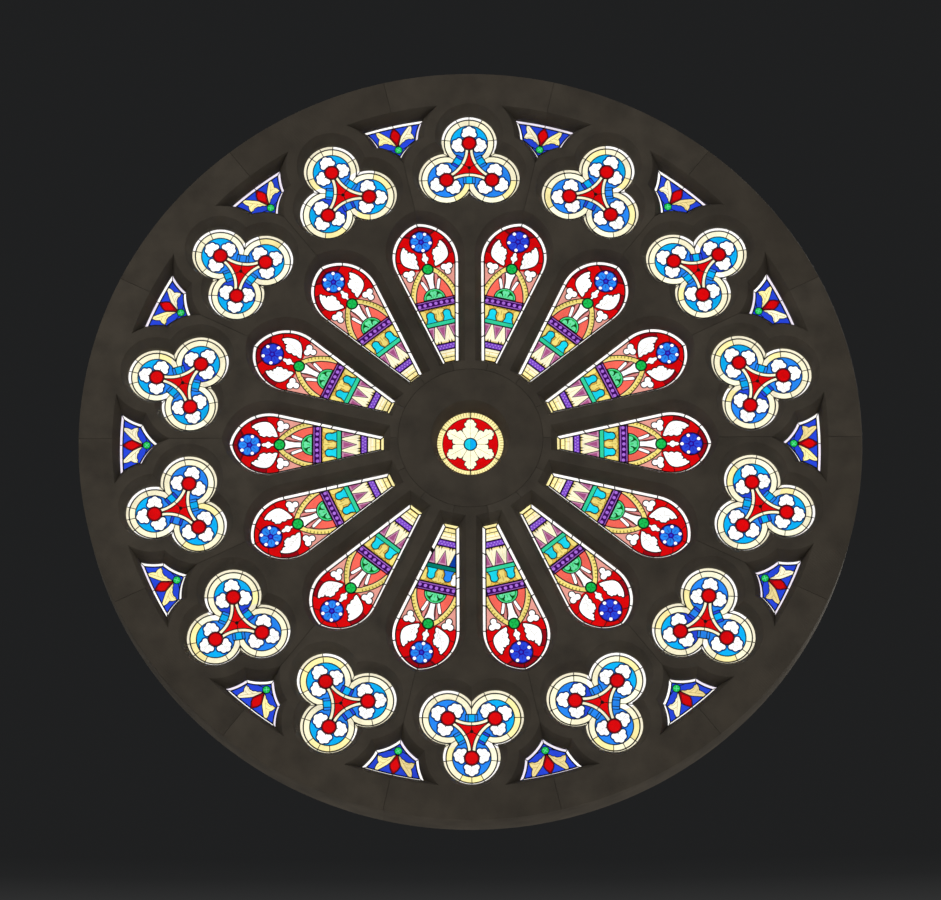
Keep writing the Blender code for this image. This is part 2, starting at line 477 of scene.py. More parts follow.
def limestone_material():
    """Dressed limestone: beds and blotches of tone, tooling, pits, and soot that fades in and out."""
    material, nodes, links, shader = new_material("limestone")
    tone = attribute(nodes, "tone")
    shift = calculate(nodes, links, "MULTIPLY", tone, 30)
    blotches = noise(nodes, links, 2.2, 6, shift)
    grain = noise(nodes, links, 120, 4)
    soot = noise(nodes, links, 5.5, 5, shift)
    warm = blend(nodes, links, blotches, (0.150, 0.122, 0.090), (0.265, 0.232, 0.185))
    sooty = blend(nodes, links, span(nodes, links, soot, -0.7, 1.2), warm, (0.060, 0.052, 0.044))
    speckled = blend(nodes, links, span(nodes, links, grain, -0.2, 0.7), sooty, (0.200, 0.178, 0.145))
    shade = blend(nodes, links, span(nodes, links, tone, 0.0, 0.45), speckled, (0.115, 0.096, 0.075))
    links.new(shade, shader.inputs["Base Color"])
    links.new(span(nodes, links, grain, 0.80, 0.96), shader.inputs["Roughness"])
    tooling = nodes.new("ShaderNodeTexWave")
    tooling.inputs["Scale"].default_value = 26
    tooling.inputs["Distortion"].default_value = 5.0
    tooling.inputs["Detail"].default_value = 3.0
    tooling.bands_direction = "DIAGONAL"
    links.new(object_coordinates(nodes), tooling.inputs["Vector"])
    grooves = calculate(nodes, links, "MULTIPLY", tooling.outputs["Fac"], 0.35)
    rough = calculate(nodes, links, "ADD", grooves, grain)
    height = calculate(nodes, links, "ADD", rough, calculate(nodes, links, "MULTIPLY", blotches, 1.5))
    links.new(bump(nodes, links, height, 0.002, 0.55), shader.inputs["Normal"])
    return material


LIMESTONE = limestone_material()
LEAD = lead_material()
PAINT = paint_material()
GLASS = {name: glass_material(name) for name in GLASS_COLOURS}
GLASS["paint"] = PAINT


# Stones

def stone_levels(chamfer_depth):
    """(y, grow of the lights, inset of the joints and rim) from the inner face to the weather face."""
    chamfer = CHAMFER_WIDTH / chamfer_depth
    bottom = INNER_FACE_Y + chamfer_depth
    half = ARRIS / 2
    return [
        (INNER_FACE_Y, CHAMFER_WIDTH + ARRIS, JOINT_ARRIS),
        (INNER_FACE_Y + half * 0.4, CHAMFER_WIDTH + half * 0.5, JOINT_ARRIS * 0.4),
        (INNER_FACE_Y + ARRIS, CHAMFER_WIDTH - ARRIS * chamfer, 0),
        (bottom - ARRIS, ARRIS * chamfer, 0),
        (bottom, half * 0.3, 0),
        (bottom + ARRIS, 0, 0),
        (0, 0, 0),
        (0, REBATE, 0),
        (WEATHER_FACE_Y - ARRIS, REBATE, 0),
        (WEATHER_FACE_Y - half * 0.4, REBATE + half * 0.4, JOINT_ARRIS * 0.4),
        (WEATHER_FACE_Y, REBATE + ARRIS, JOINT_ARRIS),
    ]


def sector_boundary(grow, inset):
    """The outline of one tracery stone, clockwise, round half of each light that it shares."""
    aside = FIT_GAP / 2 + inset
    rim = RIM_R - inset
    hub = HUB_R + FIT_GAP + inset
    top = spandrel_outline(grow)
    half_top = [p for p in top[-SPANDREL_STEPS:] + top[: 2 * SPANDREL_STEPS + 1] if p[0] > -1e-6]
    spandrel = [(-max(x, aside), r) for x, r in half_top]
    petal = [(-max(x, aside), r) for x, r in petal_outline(grow)[: HEAD_STEPS + 2]][::-1]
    foot = (-aside, petal[-1][1])
    right = arc((0, 0), rim, 0, HALF_PITCH - aside / rim, RIM_STEPS_PER_SECTOR // 2)
    right += turned(spandrel + petal + [foot], HALF_PITCH)
    right += arc((0, 0), hub, HALF_PITCH - aside / hub, 0, HUB_STEPS_PER_SECTOR // 2)
    return right[:-1] + [(-x, r) for x, r in reversed(right[1:])]


def hub_boundary(grow, inset):
    return arc((0, 0), HUB_R - inset, 0, 2 * math.pi, SECTORS * HUB_STEPS_PER_SECTOR)[:-1]


def anticlockwise(start, loop):
    """The indices of a closed loop, counted from start, in anticlockwise order."""
    order = list(range(start, start + len(loop)))
    area = sum(a[0] * b[1] - b[0] * a[1] for a, b in zip(loop, loop[1:] + loop[:1]))
    return order if area > 0 else order[::-1]


def fill(outer, hole):
    """Triangles between a closed outline and a hole in it, as indices into the two, one after the other."""
    points = [Vector(p) for p in outer + hole]
    loops = [anticlockwise(0, outer), anticlockwise(len(outer), hole)]
    _, _, triangles, sources, _, owners = delaunay_2d_cdt(points, [], loops, 1, 1e-7, True)
    return [[sources[v][0] for v in t] for t, owner in zip(triangles, owners) if owner == [0]]


def pierced_stone(name, boundary, light, chamfer_depth):
    """A stone slab with one light right through it, lofted through the levels of its section."""
    vertices, rings, faces = [], [], []
    for y, grow, inset in stone_levels(chamfer_depth):
        outer, hole = boundary(grow, inset), light(grow)
        rings.append((len(vertices), len(outer), len(hole), outer, hole))
        vertices += [(x, y, r) for x, r in outer + hole]
    for (start, outer_count, hole_count, _, _), (following, *_) in zip(rings, rings[1:]):
        for offset, count, flip in ((0, outer_count, False), (outer_count, hole_count, True)):
            for i in range(count):
                j = (i + 1) % count
                near, far = start + offset, following + offset
                face = [near + i, near + j, far + j, far + i]
                faces.append(face[::-1] if flip else face)
    for index, flip in ((0, False), (-1, True)):
        start, _, _, outer, hole = rings[index]
        for triangle in fill(outer, hole):
            face = [start + v for v in triangle]
            faces.append(face[::-1] if flip else face)
    mesh = bpy.data.meshes.new(name)
    mesh.from_pydata(vertices, [], faces)
    shape = bmesh.new()
    shape.from_mesh(mesh)
    bmesh.ops.remove_doubles(shape, verts=shape.verts, dist=WELD)
    shape.to_mesh(mesh)
    shape.free()
    mesh.shade_smooth()
    mesh.set_sharp_from_angle(angle=SHARP_ANGLE)
    return mesh


# Leaded panels

def came(points, width, closed, rise):
    """The vertices and faces of one lead came: a flat bar with sloping flanks on both sides of the glass."""
    front, back = PANEL_FRONT_Y + rise, PANEL_BACK_Y - rise
    middle = (front + back) / 2
    section = (
        (-0.5, middle), (-CAME_FLAT, front), (CAME_FLAT, front),
        (0.5, middle), (CAME_FLAT, back), (-CAME_FLAT, back),
    )
    count = len(points)
    vertices, faces = [], []
    for i, (x, r) in enumerate(points):
        before = points[i - 1] if closed or i else points[i]
        after = points[(i + 1) % count] if closed or i + 1 < count else points[i]
        into = Vector((x - before[0], r - before[1])).normalized()
        out = Vector((after[0] - x, after[1] - r)).normalized()
        if not into.length:
            into = out
        if not out.length:
            out = into
        along = into + out
        along = along.normalized() if along.length > 0.2 else out
        stretch = 1 / max(along.dot(out), 0.5)
        side = (along.y * stretch * width, -along.x * stretch * width)
        vertices += [(x + side[0] * a, y, r + side[1] * a) for a, y in section]
    size = len(section)
    for i in range(count if closed else count - 1):
        j = (i + 1) % count
        for k in range(size):
            m = (k + 1) % size
            faces.append((i * size + k, i * size + m, j * size + m, j * size + k))
    if not closed:
        faces.append(tuple(range(size))[::-1])
        faces.append(tuple((count - 1) * size + k for k in range(size)))
    return vertices, faces


class Cartoon:
    """The full-size drawing of one light: shapes of glass and lead lines, later ones on top."""

    def __init__(self, outline, border, seed, border_came=BORDER_CAME):
        self.random = random.Random(seed)
        self.outline = outline
        self.field = outline(-border)
        self.shapes = []
        self.border_shapes = set()
        self.leads = []
        self.glass(outline(REBATE - FIT_GAP), "fillet", border=True)
        edge_line = outline(REBATE - FIT_GAP - EDGE_CAME / 2)
        self.frame_leads = [(edge_line, EDGE_CAME, True), (self.field, border_came, True)]

    def glass(self, outline, colour, border=False):
        """A pane, or paint on one. Only what belongs to the border shows outside the field."""
        if border:
            self.border_shapes.add(len(self.shapes))
        self.shapes.append((outline, colour, self.random.random()))

    def lead(self, points, width=CAME, closed=False):
        """A came along a line, inside the border."""
        if closed and all(inside(p, self.field) for p in points):
            self.leads.append((points, width, True))
            return
        line = points + points[:1] if closed else points
        self.leads += [(stretch, width, False) for stretch in clipped(line, self.field)]

    def border_lead(self, points, width=FINE_CAME):
        """A joint between two pieces of the border."""
        self.frame_leads.append((points, width, False))

    def fillet(self, first, last, colour="fillet"):
        """A piece of the border between two places, given as indices into the outline."""
        steps = [first, *range(int(first) + 1, math.ceil(last)), last]
        outer, inner = self.outline(REBATE - FIT_GAP), self.field
        piece = [at_index(outer, i) for i in steps] + [at_index(inner, i) for i in reversed(steps)]
        self.glass(piece, colour, border=True)

    def leaded(self, outline, colour, width=CAME):
        """A pane with a came round it, which hides what lay under it."""
        low = [min(p[i] for p in outline) for i in (0, 1)]
        high = [max(p[i] for p in outline) for i in (0, 1)]
        kept = []
        for line, line_width, closed in self.leads:
            apart = any(
                min(p[i] for p in line) > high[i] or max(p[i] for p in line) < low[i]
                for i in (0, 1)
            )
            if apart or (closed and not any(inside(p, outline) for p in line)):
                kept.append((line, line_width, closed))
            else:
                path = line + line[:1] if closed else line
                kept += [(part, line_width, False) for part in clipped(path, outline, False)]
        self.leads = kept
        self.glass(outline, colour)
        self.lead(outline, width, closed=True)

    def stroke(self, points, width, colour="paint"):
        """A painted line."""
        left, right = [], []
        for i, (x, r) in enumerate(points):
            before, after = points[max(i - 1, 0)], points[min(i + 1, len(points) - 1)]
            along = Vector((after[0] - before[0], after[1] - before[1])).normalized()
            left.append((x - along.y * width / 2, r + along.x * width / 2))
            right.append((x + along.y * width / 2, r - along.x * width / 2))
        self.glass(left + right[::-1], colour)

    def mesh(self, name):
        """One mesh of the glass and its leads, with a material for each colour and a tone for each pane."""
        points, loops = [], []
        for outline in [shape[0] for shape in self.shapes] + [self.field]:
            loops.append(anticlockwise(len(points), outline))
            points += [Vector(p) for p in outline]
        field = len(loops) - 1
        flat, _, triangles, _, _, owners = delaunay_2d_cdt(points, [], loops, 1, 1e-6, True)

        middle = (PANEL_FRONT_Y + PANEL_BACK_Y) / 2
        front, back = middle - GLASS_THICKNESS / 2, middle + GLASS_THICKNESS / 2
        count = len(flat)
        vertices = [(p.x, front, p.y) for p in flat] + [(p.x, back, p.y) for p in flat]
        colours = ["lead"]
        faces, materials, tones, edges = [], [], [], {}
        for triangle, owner in zip(triangles, owners):
            if 0 not in owner:
                continue
            shown = owner if field in owner else self.border_shapes.intersection(owner)
            top = max(o for o in shown if o != field)
            _, colour, tone = self.shapes[top]
            if colour not in colours:
                colours.append(colour)
            slot = colours.index(colour)
            a, b, c = triangle
            faces += [(a, b, c), (c + count, b + count, a + count)]
            materials += [slot, slot]
            tones += [tone, tone]
            for edge in ((a, b), (b, c), (c, a)):
                if edge[::-1] in edges:
                    del edges[edge[::-1]]
                else:
                    edges[edge] = (slot, tone)
        for (a, b), (slot, tone) in edges.items():
            faces.append((b, a, a + count, b + count))
            materials.append(slot)
            tones.append(tone)
        for number, (line, width, closed) in enumerate(self.frame_leads + self.leads):
            rise = LEAD_STAGGER * (number % LEAD_STAGGERS)
            more, walls = came(line, width, closed, rise)
            start = len(vertices)
            vertices += more
            faces += [tuple(v + start for v in wall) for wall in walls]
            materials += [0] * len(walls)
            tones += [0.5] * len(walls)

        mesh = bpy.data.meshes.new(name)
        mesh.from_pydata(vertices, [], faces)
        mesh.polygons.foreach_set("material_index", materials)
        mesh.polygons.foreach_set("use_smooth", [m == 0 for m in materials])
        mesh.attributes.new("tone", "FLOAT", "FACE").data.foreach_set("value", tones)
        mesh.materials.append(LEAD)
        for colour in colours[1:]:
            mesh.materials.append(GLASS[colour])
        return mesh


def index_at(outline, r):
    """Where the right-hand side of an outline, from its foot up, reaches a height, as a fractional index."""
    for i, (a, b) in enumerate(zip(outline, outline[1:])):
        if a[1] <= r <= b[1]:
            return i + (r - a[1]) / (b[1] - a[1])
    return 0


def at_index(outline, index):
    i = int(index) % len(outline)
    j = (i + 1) % len(outline)
    share = index - int(index)
    a, b = outline[i], outline[j]
    return (a[0] + (b[0] - a[0]) * share, a[1] + (b[1] - a[1]) * share)


# The glass is drawn in steps of this size: (across, down) from a named point on the light's axis
STEP = 0.001025
PETAL_SHEET_TOP = 1.681


def petal_points(points):
    return [(across * STEP, PETAL_SHEET_TOP - down * STEP) for across, down in points]


def petal_point(across, down):
    return petal_points([(across, down)])[0]


def petal_band(cartoon, top, bottom, colour):
    """Glass right across a petal between two levels of the drawing."""
    cartoon.glass(petal_points([(-200, bottom), (200, bottom), (200, top), (-200, top)]), colour)


def petal_cross_lead(cartoon, down, width=CAME):
    cartoon.lead(petal_points([(-200, down), (200, down)]), width)


def on_both_sides(draw, *outlines):
    """Calls draw with the outlines as they are and once more with them mirrored."""
    draw(*outlines)
    draw(*(mirrored(outline) for outline in outlines))


def petal_flower(cartoon):
    """A blue five-petalled flower with white pearls between its petals."""
    centre = petal_point(0, 148)
    blue = cartoon.random.choice(("royal", "azure", "azure"))
    cartoon.leaded(disc(centre, 79 * STEP, 36), "indigo")
    turns = [2 * math.pi * k / 5 for k in range(5)]
    for turn in turns:
        cartoon.glass(disc(add(centre, polar(47 * STEP, turn)), 25 * STEP, 20), blue)
        root = [(x * STEP, r * STEP) for x, r in ((-12, 20), (-20, 46), (20, 46), (12, 20))]
        cartoon.glass(moved(turned(root, turn), centre), blue)
        cartoon.stroke([add(centre, polar(r * STEP, turn)) for r in (26, 52)], 3 * STEP, "indigo")
    for turn in turns:
        pearl = add(centre, polar(62 * STEP, turn + math.pi / 5))
        cartoon.glass(disc(pearl, 14.5 * STEP, 16), "indigo")
        cartoon.glass(disc(pearl, 11.5 * STEP, 16), "white")
    star = [add(centre, polar((28 if k % 2 else 17) * STEP, math.pi * k / 5)) for k in range(10)]
    cartoon.glass(star, "indigo")
    cartoon.glass(disc(centre, 10 * STEP, 14), "royal")


def petal_wings(cartoon):
    """Two large white leaves, smooth outside and lobed towards the flower."""
    notches = petal_points([
        (133, 160), (117, 178), (106, 206), (82, 213), (61, 229), (62, 264), (61, 302), (57, 342),
    ])
    steps = 6
    wing = scallops(notches, (0.3, 0.28, 0.32, 0.3, 0.22, 0.22, 0.16, 0), steps)
    wing = wing[:(len(notches) - 1) * steps + 1] + petal_points([
        (78, 336), (104, 326), (128, 313), (146, 300), (158, 285), (165, 266), (166, 244), (162, 216),
        (152, 188),
    ])
    veins = [petal_points([(72, 330), (96, 282), (118, 228), (128, 190)])]
    veins += [petal_points([(82, 310), (76, 272)]), petal_points([(98, 278), (88, 244)])]
    veins += [petal_points([(112, 244), (140, 262)]), petal_points([(94, 286), (122, 300)])]

    def draw(outline, *lines):
        cartoon.leaded(outline, "white")
        for line in lines:
            cartoon.stroke(line, 2.8 * STEP, "shade")

    on_both_sides(draw, wing, *veins)


def petal_clovers(cartoon):
    lobes = [(113, 357, 24), (150, 356, 24), (132, 394, 23), (132, 370, 20)]
    circles = [(*petal_point(x, d), radius * STEP) for x, d, radius in lobes]
    heart = petal_point(132, 368)

    def draw(outline, stem):
        cartoon.leaded(outline, "white")
        cartoon.stroke(stem, 3 * STEP, "shade")

    on_both_sides(draw, bouquet(circles, 36), [heart, petal_point(133, 404)])


def petal_centre_leaf(cartoon):
    right = petal_points([(8, 318), (9, 296), (21, 286), (26, 270), (14, 256), (13, 238), (0, 226)])
    leaf = right + mirrored(right[:-1])
    cartoon.leaded(leaf, "white", FINE_CAME)


def petal_arch(cartoon):
    """A pointed band with dark ticks, over rays and a half dome."""
    centre = petal_point(-179, 607)
    outer, rim, inner = 345 * STEP, 317 * STEP, 308 * STEP
    low = math.radians(96)

    def pointed(radius):
        top = math.acos(math.sqrt(radius**2 - centre[0] ** 2) / radius)
        side = arc(centre, radius, low, top, 18)
        return side + mirrored(side[:-1])

    cartoon.glass(pointed(outer), "yellow")
    cartoon.glass(pointed(rim), "buff")
    tick = 25 * STEP / outer
    for k in range(9):
        angle = math.radians(48.5) + k * tick
        ends = [add(centre, polar(r * STEP, angle)) for r in (340, 326)]
        for line in (ends, mirrored(ends)):
            cartoon.stroke(line, 7 * STEP, "olive")
    cartoon.glass(pointed(inner), "salmon")
    cartoon.lead(pointed(outer))
    cartoon.lead(pointed(inner))


def petal_rays(cartoon):
    """White, pink and red rays that rise from the dome to the arch."""
    right = petal_points([(18, 505), (19, 455), (25, 418), (37, 382)])
    wedge = right + mirrored(right)
    pink = petal_points([(18, 503), (32, 506), (48, 440), (58, 418), (56, 400), (38, 384)])
    short = petal_points([
        (27, 505), (46, 508), (58, 475), (69, 448), (71, 434), (60, 428), (48, 436), (39, 460), (31, 482),
    ])
    on_both_sides(lambda outline: cartoon.leaded(outline, "pink", FINE_CAME), pink)
    on_both_sides(lambda outline: cartoon.leaded(outline, "white", FINE_CAME), short)
    cartoon.leaded(wedge, "white", FINE_CAME)


def petal_dome(cartoon):
    """A green half dome with pale foliage in it."""
    centre = petal_point(0, 571)
    for radius, colour, draw in (
        (74, "mint", cartoon.leaded), (66, "emerald", cartoon.glass), (59, "bottle", cartoon.glass),
    ):
        draw(arc(centre, radius * STEP, -math.pi / 2, math.pi / 2, 24), colour)
    crown = [(*petal_point(x, d), r * STEP) for x, d, r in ((-10, 527, 14), (10, 527, 14), (0, 546, 17))]
    cartoon.glass(bouquet(crown, 30), "mint")
    for side in (-1, 1):
        cartoon.glass(disc(petal_point(side * 38, 556), 16 * STEP, 20), "mint")
    base = petal_points([(-58, 570), (58, 570), (52, 558), (-52, 558)])
    cartoon.glass(base, "mint")
    for side in (-1, 1):
        cartoon.stroke(petal_points([(0, 536), (side * 8, 566)]), 3.5 * STEP, "emerald")
        cartoon.stroke(petal_points([(side * 26, 570), (side * 34, 552)]), 3 * STEP, "emerald")


def petal_beads(cartoon):
    petal_band(cartoon, 571, 578, "ruby")
    petal_band(cartoon, 578, 637, "violet")
    petal_band(cartoon, 580, 586, "mauve")
    petal_band(cartoon, 622, 629, "mauve")
    for k in range(-4, 5):
        across = 38.3 * k
        bead = petal_point(across, 603 + 0.0004 * across**2)
        cartoon.glass(disc(bead, 15.5 * STEP, 14), "violet")
        cartoon.glass(disc(bead, 11.5 * STEP, 14), "lilac")
    petal_cross_lead(cartoon, 577)
    petal_cross_lead(cartoon, 636, BORDER_CAME)


def petal_bells(cartoon, left_bell, left_side):
    """Two bells on the green bar, and gold flower heads that hang between them."""
    petal_band(cartoon, 637, 738, "gold")
    for side in (-1, 1):
        curl = petal_points([(side * 30, 641), (side * 48, 655), (side * 66, 641)])
        cartoon.stroke(curl, 5 * STEP, "olive")
    centre_head = [(0, 712, 21), (0, 690, 16), (-28, 662, 15), (28, 662, 15), (0, 664, 19)]
    side_head = [(104, 704, 17), (98, 682, 13), (104, 663, 20), (120, 690, 16)]
    left_head = [(-x, d, r) for x, d, r in side_head]
    for head, colour in ((centre_head, "yellow"), (side_head, "yellow"), (left_head, left_side)):
        circles = [(*petal_point(x, d), r * STEP) for x, d, r in head]
        cartoon.glass(bouquet(grown(circles, 3 * STEP), 36), "olive")
        cartoon.glass(bouquet(circles, 36), colour)
    cartoon.stroke(petal_points([(0, 655), (0, 690)]), 3 * STEP, "olive")
    for side, colour in ((-1, left_bell), (1, "cyan")):
        for swell, glass in ((7, "paint"), (0, colour)):
            across, radius = side * 57, 23 + swell
            dome = arc(petal_point(across, 686), radius * STEP, math.pi / 2, -math.pi / 2, 14)
            skirt = petal_points([
                (across - 20 - swell, 706), (across - 24 - swell, 718), (across - 33 - swell, 736),
                (across + 33 + swell, 736), (across + 24 + swell, 718), (across + 20 + swell, 706),
            ])
            cartoon.glass(dome + skirt, glass)


def petal_zigzag(cartoon, bar, left_tooth):
    """A green bar over hanging plum triangles, with cream teeth between them."""
    petal_band(cartoon, 738, 768, bar)
    petal_cross_lead(cartoon, 738, FINE_CAME)
    petal_band(cartoon, 768, 898, "cream")
    petal_band(cartoon, 884, 898, "buff")
    middle = petal_points([(0, 872), (34, 770), (-34, 770)])
    heart = petal_points([(0, 850), (19, 783), (-19, 783)])
    cartoon.leaded(middle, "rose", FINE_CAME)
    cartoon.glass(heart, "plum")
    side = petal_points([(72, 872), (104, 820), (104, 770), (48, 770)])
    side_heart = petal_points([(74, 840), (92, 800), (92, 784), (62, 784)])
    for outline, inner, colour in (
        (side, side_heart, "plum"),
        (mirrored(side), mirrored(side_heart), left_tooth),
    ):
        cartoon.leaded(outline, "rose" if colour == "plum" else colour, FINE_CAME)
        cartoon.glass(inner, colour)
    for across in (-37, 37):
        for side in (-1, 1):
            foot = across + 9 * side
            cartoon.glass(petal_points([(foot - 6, 898), (foot + 6, 898), (foot, 872)]), "paint")
        cartoon.stroke(petal_points([(across, 800), (across, 872)]), 2.5 * STEP, "buff")
    petal_cross_lead(cartoon, 769, BORDER_CAME)


def petal_foot(cartoon):
    """A violet band with pale dots, and three courses of cream blocks below it."""
    petal_band(cartoon, 898, 946, "violet")
    petal_band(cartoon, 905, 939, "amethyst")
    for k in range(-6, 7):
        dot = petal_point(11 * k, 914 if k % 2 else 930)
        cartoon.glass(disc(dot, 5 * STEP, 8), "wisteria")
    petal_cross_lead(cartoon, 898)
    petal_band(cartoon, 946, 985, "cream")
    petal_band(cartoon, 985, 1060, "straw")
    petal_cross_lead(cartoon, 946)
    petal_cross_lead(cartoon, 1001, FINE_CAME)
    for across, top, bottom in ((-60, 968, 968), (-60, 1028, 1028), (12, 1001, 1028), (-16, 968, 1001)):
        end = -across if top == bottom else across
        cartoon.stroke(petal_points([(across, top), (end, bottom)]), 3 * STEP, "gold")


def petal_ground(cartoon):
    """The red ground in its several pieces, and the pink one below the clovers."""
    deep = cartoon.random.choice(("garnet", "ruby", "garnet"))
    cartoon.glass(cartoon.field, "ruby")
    cartoon.glass(petal_points([(-60, 120), (60, 120), (122, 86), (60, 20), (-60, 20), (-122, 86)]), deep)
    outer = petal_points([(120, 160), (130, 262), (215, 262), (215, 150)])
    corner = petal_points([(130, 262), (80, 345), (215, 345), (215, 262)])

    def draw(first, second):
        cartoon.glass(first, cartoon.random.choice(("garnet", "ruby")))
        cartoon.glass(second, "ruby")

    on_both_sides(draw, outer, corner)
    petal_band(cartoon, 352, 577, "blush")
    for side in (-1, 1):
        for x, down, end_x, end_down in (
            (60, 105, 130, 76), (135, 165, 175, 150), (150, 272, 200, 262), (150, 350, 200, 345),
        ):
            cartoon.lead(petal_points([(side * x, down), (side * end_x, end_down)]), FINE_CAME)
    cartoon.lead(petal_points([(0, 30), (0, 80)]), FINE_CAME)


REPAIRED_PETAL = 8  # its left side has old repairs in other glass


def petal_cartoon(number):
    cartoon = Cartoon(petal_outline, FILLET, PETAL_SEED + number)
    repaired = number == REPAIRED_PETAL
    petal_ground(cartoon)
    petal_wings(cartoon)
    petal_flower(cartoon)
    petal_arch(cartoon)
    petal_rays(cartoon)
    petal_clovers(cartoon)
    petal_centre_leaf(cartoon)
    petal_dome(cartoon)
    knob = petal_point(1, 351)
    cartoon.leaded(disc(knob, 38 * STEP, 28), "bottle")
    cartoon.glass(disc(knob, 31 * STEP, 24), "emerald")
    for k in range(4):
        ends = [add(knob, polar(r * STEP, math.pi * (k + 0.5) / 2)) for r in (6, 27)]
        cartoon.stroke(ends, 3 * STEP, "bottle")
    petal_beads(cartoon)
    petal_bells(cartoon, *(("azure", "white") if repaired else ("cyan", "yellow")))
    petal_zigzag(cartoon, *(("teal", "cobalt") if repaired else ("jade", "plum")))
    petal_foot(cartoon)

    sight = petal_outline(0)
    levels = [0]
    levels += [index_at(sight, petal_point(0, down)[1]) for down in (875, 710, 635, 518, 345, 185, 78)]
    apex = 1 + HEAD_STEPS
    joints = levels + [apex] + [2 * apex - level for level in reversed(levels)]
    for first, last in zip(joints, joints[1:]):
        cartoon.fillet(first, last)
    cartoon.fillet(2 * apex, 2 * apex + 1, "straw")
    if repaired:
        gap = [index_at(sight, petal_point(0, down)[1]) for down in (872, 850)]
        cartoon.fillet(*gap, "paint")
    for index in joints:
        ends = [at_index(petal_outline(grow), index) for grow in (REBATE / 2, -FILLET)]
        cartoon.border_lead(ends, CAME)
    return cartoon


WEB_TIP = 184 * STEP  # how far the red web of a trefoil reaches towards each boss
WEB_CENTRE = 0.295  # where its hollow sides are struck from
WEB_R = 0.2530
WEB_EDGE_R = 0.2285


def boss_leaf():
    """A white leaf of five lobes that stands on a boss, pointing along its own axis."""
    circles = [(0, 103, 23), (-25, 91, 21), (25, 91, 21), (-33, 62, 21), (33, 62, 21), (0, 70, 32)]
    return [(x * STEP, r * STEP, radius * STEP) for x, r, radius in circles]


def trefoil_cartoon(number):
    cartoon = Cartoon(trefoil_outline, TREFOIL_FILLET, TREFOIL_SEED + number)
    centre = (0, TREFOIL_RING_R)
    cartoon.glass(cartoon.field, "cream")
    bosses = [lobe_centre(k) for k in range(3)]
    joints = [math.radians(angle) for angle in (-139, -83, -28, 28, 83, 139)]
    for k, boss in enumerate(bosses):
        out = LOBE_STEP * k
        for first, last in zip(joints, joints[1:]):
            edge = arc(boss, LOBE_R + REBATE - FIT_GAP, out + first, out + last, 12)
            white = cartoon.random.choice(("bone", "bone", "fillet"))
            cartoon.glass(edge + [boss], white, border=True)
            cream = cartoon.random.choice(("cream", "cream", "ivory", "straw"))
            band = arc(boss, LOBE_R - TREFOIL_FILLET, out + first, out + last, 12)
            cartoon.glass(band + [boss], cream)

    # The blue fields: a disc round each boss and a bridge between neighbours
    for k, boss in enumerate(bosses):
        out = LOBE_STEP * k
        blue = cartoon.random.choice(("azure", "azure", "azure", "royal"))
        cartoon.glass(disc(boss, LOBE_BAND_R, 48), blue)
        outward = math.radians(78)
        wedge = arc(boss, LOBE_BAND_R, out - outward, out + outward, 24) + [boss]
        cartoon.glass(wedge, cartoon.random.choice(("sky", "sky", "sky", "sky", "azure")))
    near, far = 45 * STEP, 118 * STEP
    for k in range(3):
        for half_width, blues in (
            (41 * STEP, ("azure", "azure", "royal")), (22 * STEP, ("sky", "sky", "azure")),
        ):
            bridge = [(-half_width, near), (half_width, near), (half_width, far), (-half_width, far)]
            place = moved(turned(bridge, LOBE_STEP * (k + 0.5)), centre)
            cartoon.glass(place, cartoon.random.choice(blues))
            cartoon.lead([place[1], place[2]], FINE_CAME)
            cartoon.lead([place[3], place[0]], FINE_CAME)
            cartoon.lead([place[2], place[3]])
    clear = math.radians(139)
    for k, boss in enumerate(bosses):
        out = LOBE_STEP * k
        cartoon.lead(arc(boss, LOBE_BAND_R, out - clear, out + clear, 40))

    # The red web between the bosses, edged by cream bands struck from outside
    def web(radius):
        reach = math.asin(WEB_TIP * math.sin(LOBE_STEP / 2) / radius)
        outline = []
        for k in range(3):
            middle = LOBE_STEP * (k + 0.5)
            hub = add(centre, polar(WEB_CENTRE, middle))
            outline += arc(hub, radius, middle + math.pi + reach, middle + math.pi - reach, 14)
        return outline

    cartoon.leaded(web(WEB_EDGE_R), "cream")
    cartoon.leaded(web(WEB_R), "ruby")
    for k in range(3):
        direction = LOBE_STEP * (k + 0.5)
        cartoon.lead([centre, add(centre, polar(62 * STEP, direction))], FINE_CAME)
    cartoon.glass(disc(centre, 12 * STEP, 12), "paint")

    # Leaves and bosses
    for k, boss in enumerate(bosses):
        for spread in (0, math.radians(103), -math.radians(103)):
            turn = LOBE_STEP * k + spread
            shadow = bouquet(grown(boss_leaf(), 7 * STEP), 40)
            leaf = bouquet(boss_leaf(), 40)
            cartoon.glass(moved(turned(shadow, turn), boss), "cobalt")
            cartoon.leaded(moved(turned(leaf, turn), boss), "white", FINE_CAME)
            for across, near_r, far_r in (
                (0, 68, 98), (-12, 80, 112), (12, 80, 112), (-30, 66, 78), (30, 66, 78),
            ):
                vein = [(across * 0.5 * STEP, near_r * STEP), (across * STEP, far_r * STEP)]
                cartoon.stroke(moved(turned(vein, turn), boss), 2.6 * STEP, "shade")
            spike = [(-7 * STEP, 44 * STEP), (7 * STEP, 44 * STEP), (0, 66 * STEP)]
            cartoon.glass(moved(turned(spike, turn), boss), "paint")
        cartoon.leaded(disc(boss, 50 * STEP, 32), "garnet")
        cartoon.glass(disc(boss, 38 * STEP, 24), "ruby")

    # Joints of the border
    border = (LOBE_BAND_R, LOBE_R + REBATE / 2)
    cusp = (far, LOBE_OFFSET + 0.03)
    for k, boss in enumerate(bosses):
        for joint in joints[1:-1]:
            cartoon.border_lead([add(boss, polar(r, LOBE_STEP * k + joint)) for r in border])
        direction = LOBE_STEP * (k + 0.5)
        cartoon.border_lead([add(centre, polar(r, direction)) for r in cusp])
    cartoon.border_lead([add(bosses[0], (0, r)) for r in border])
    return cartoon


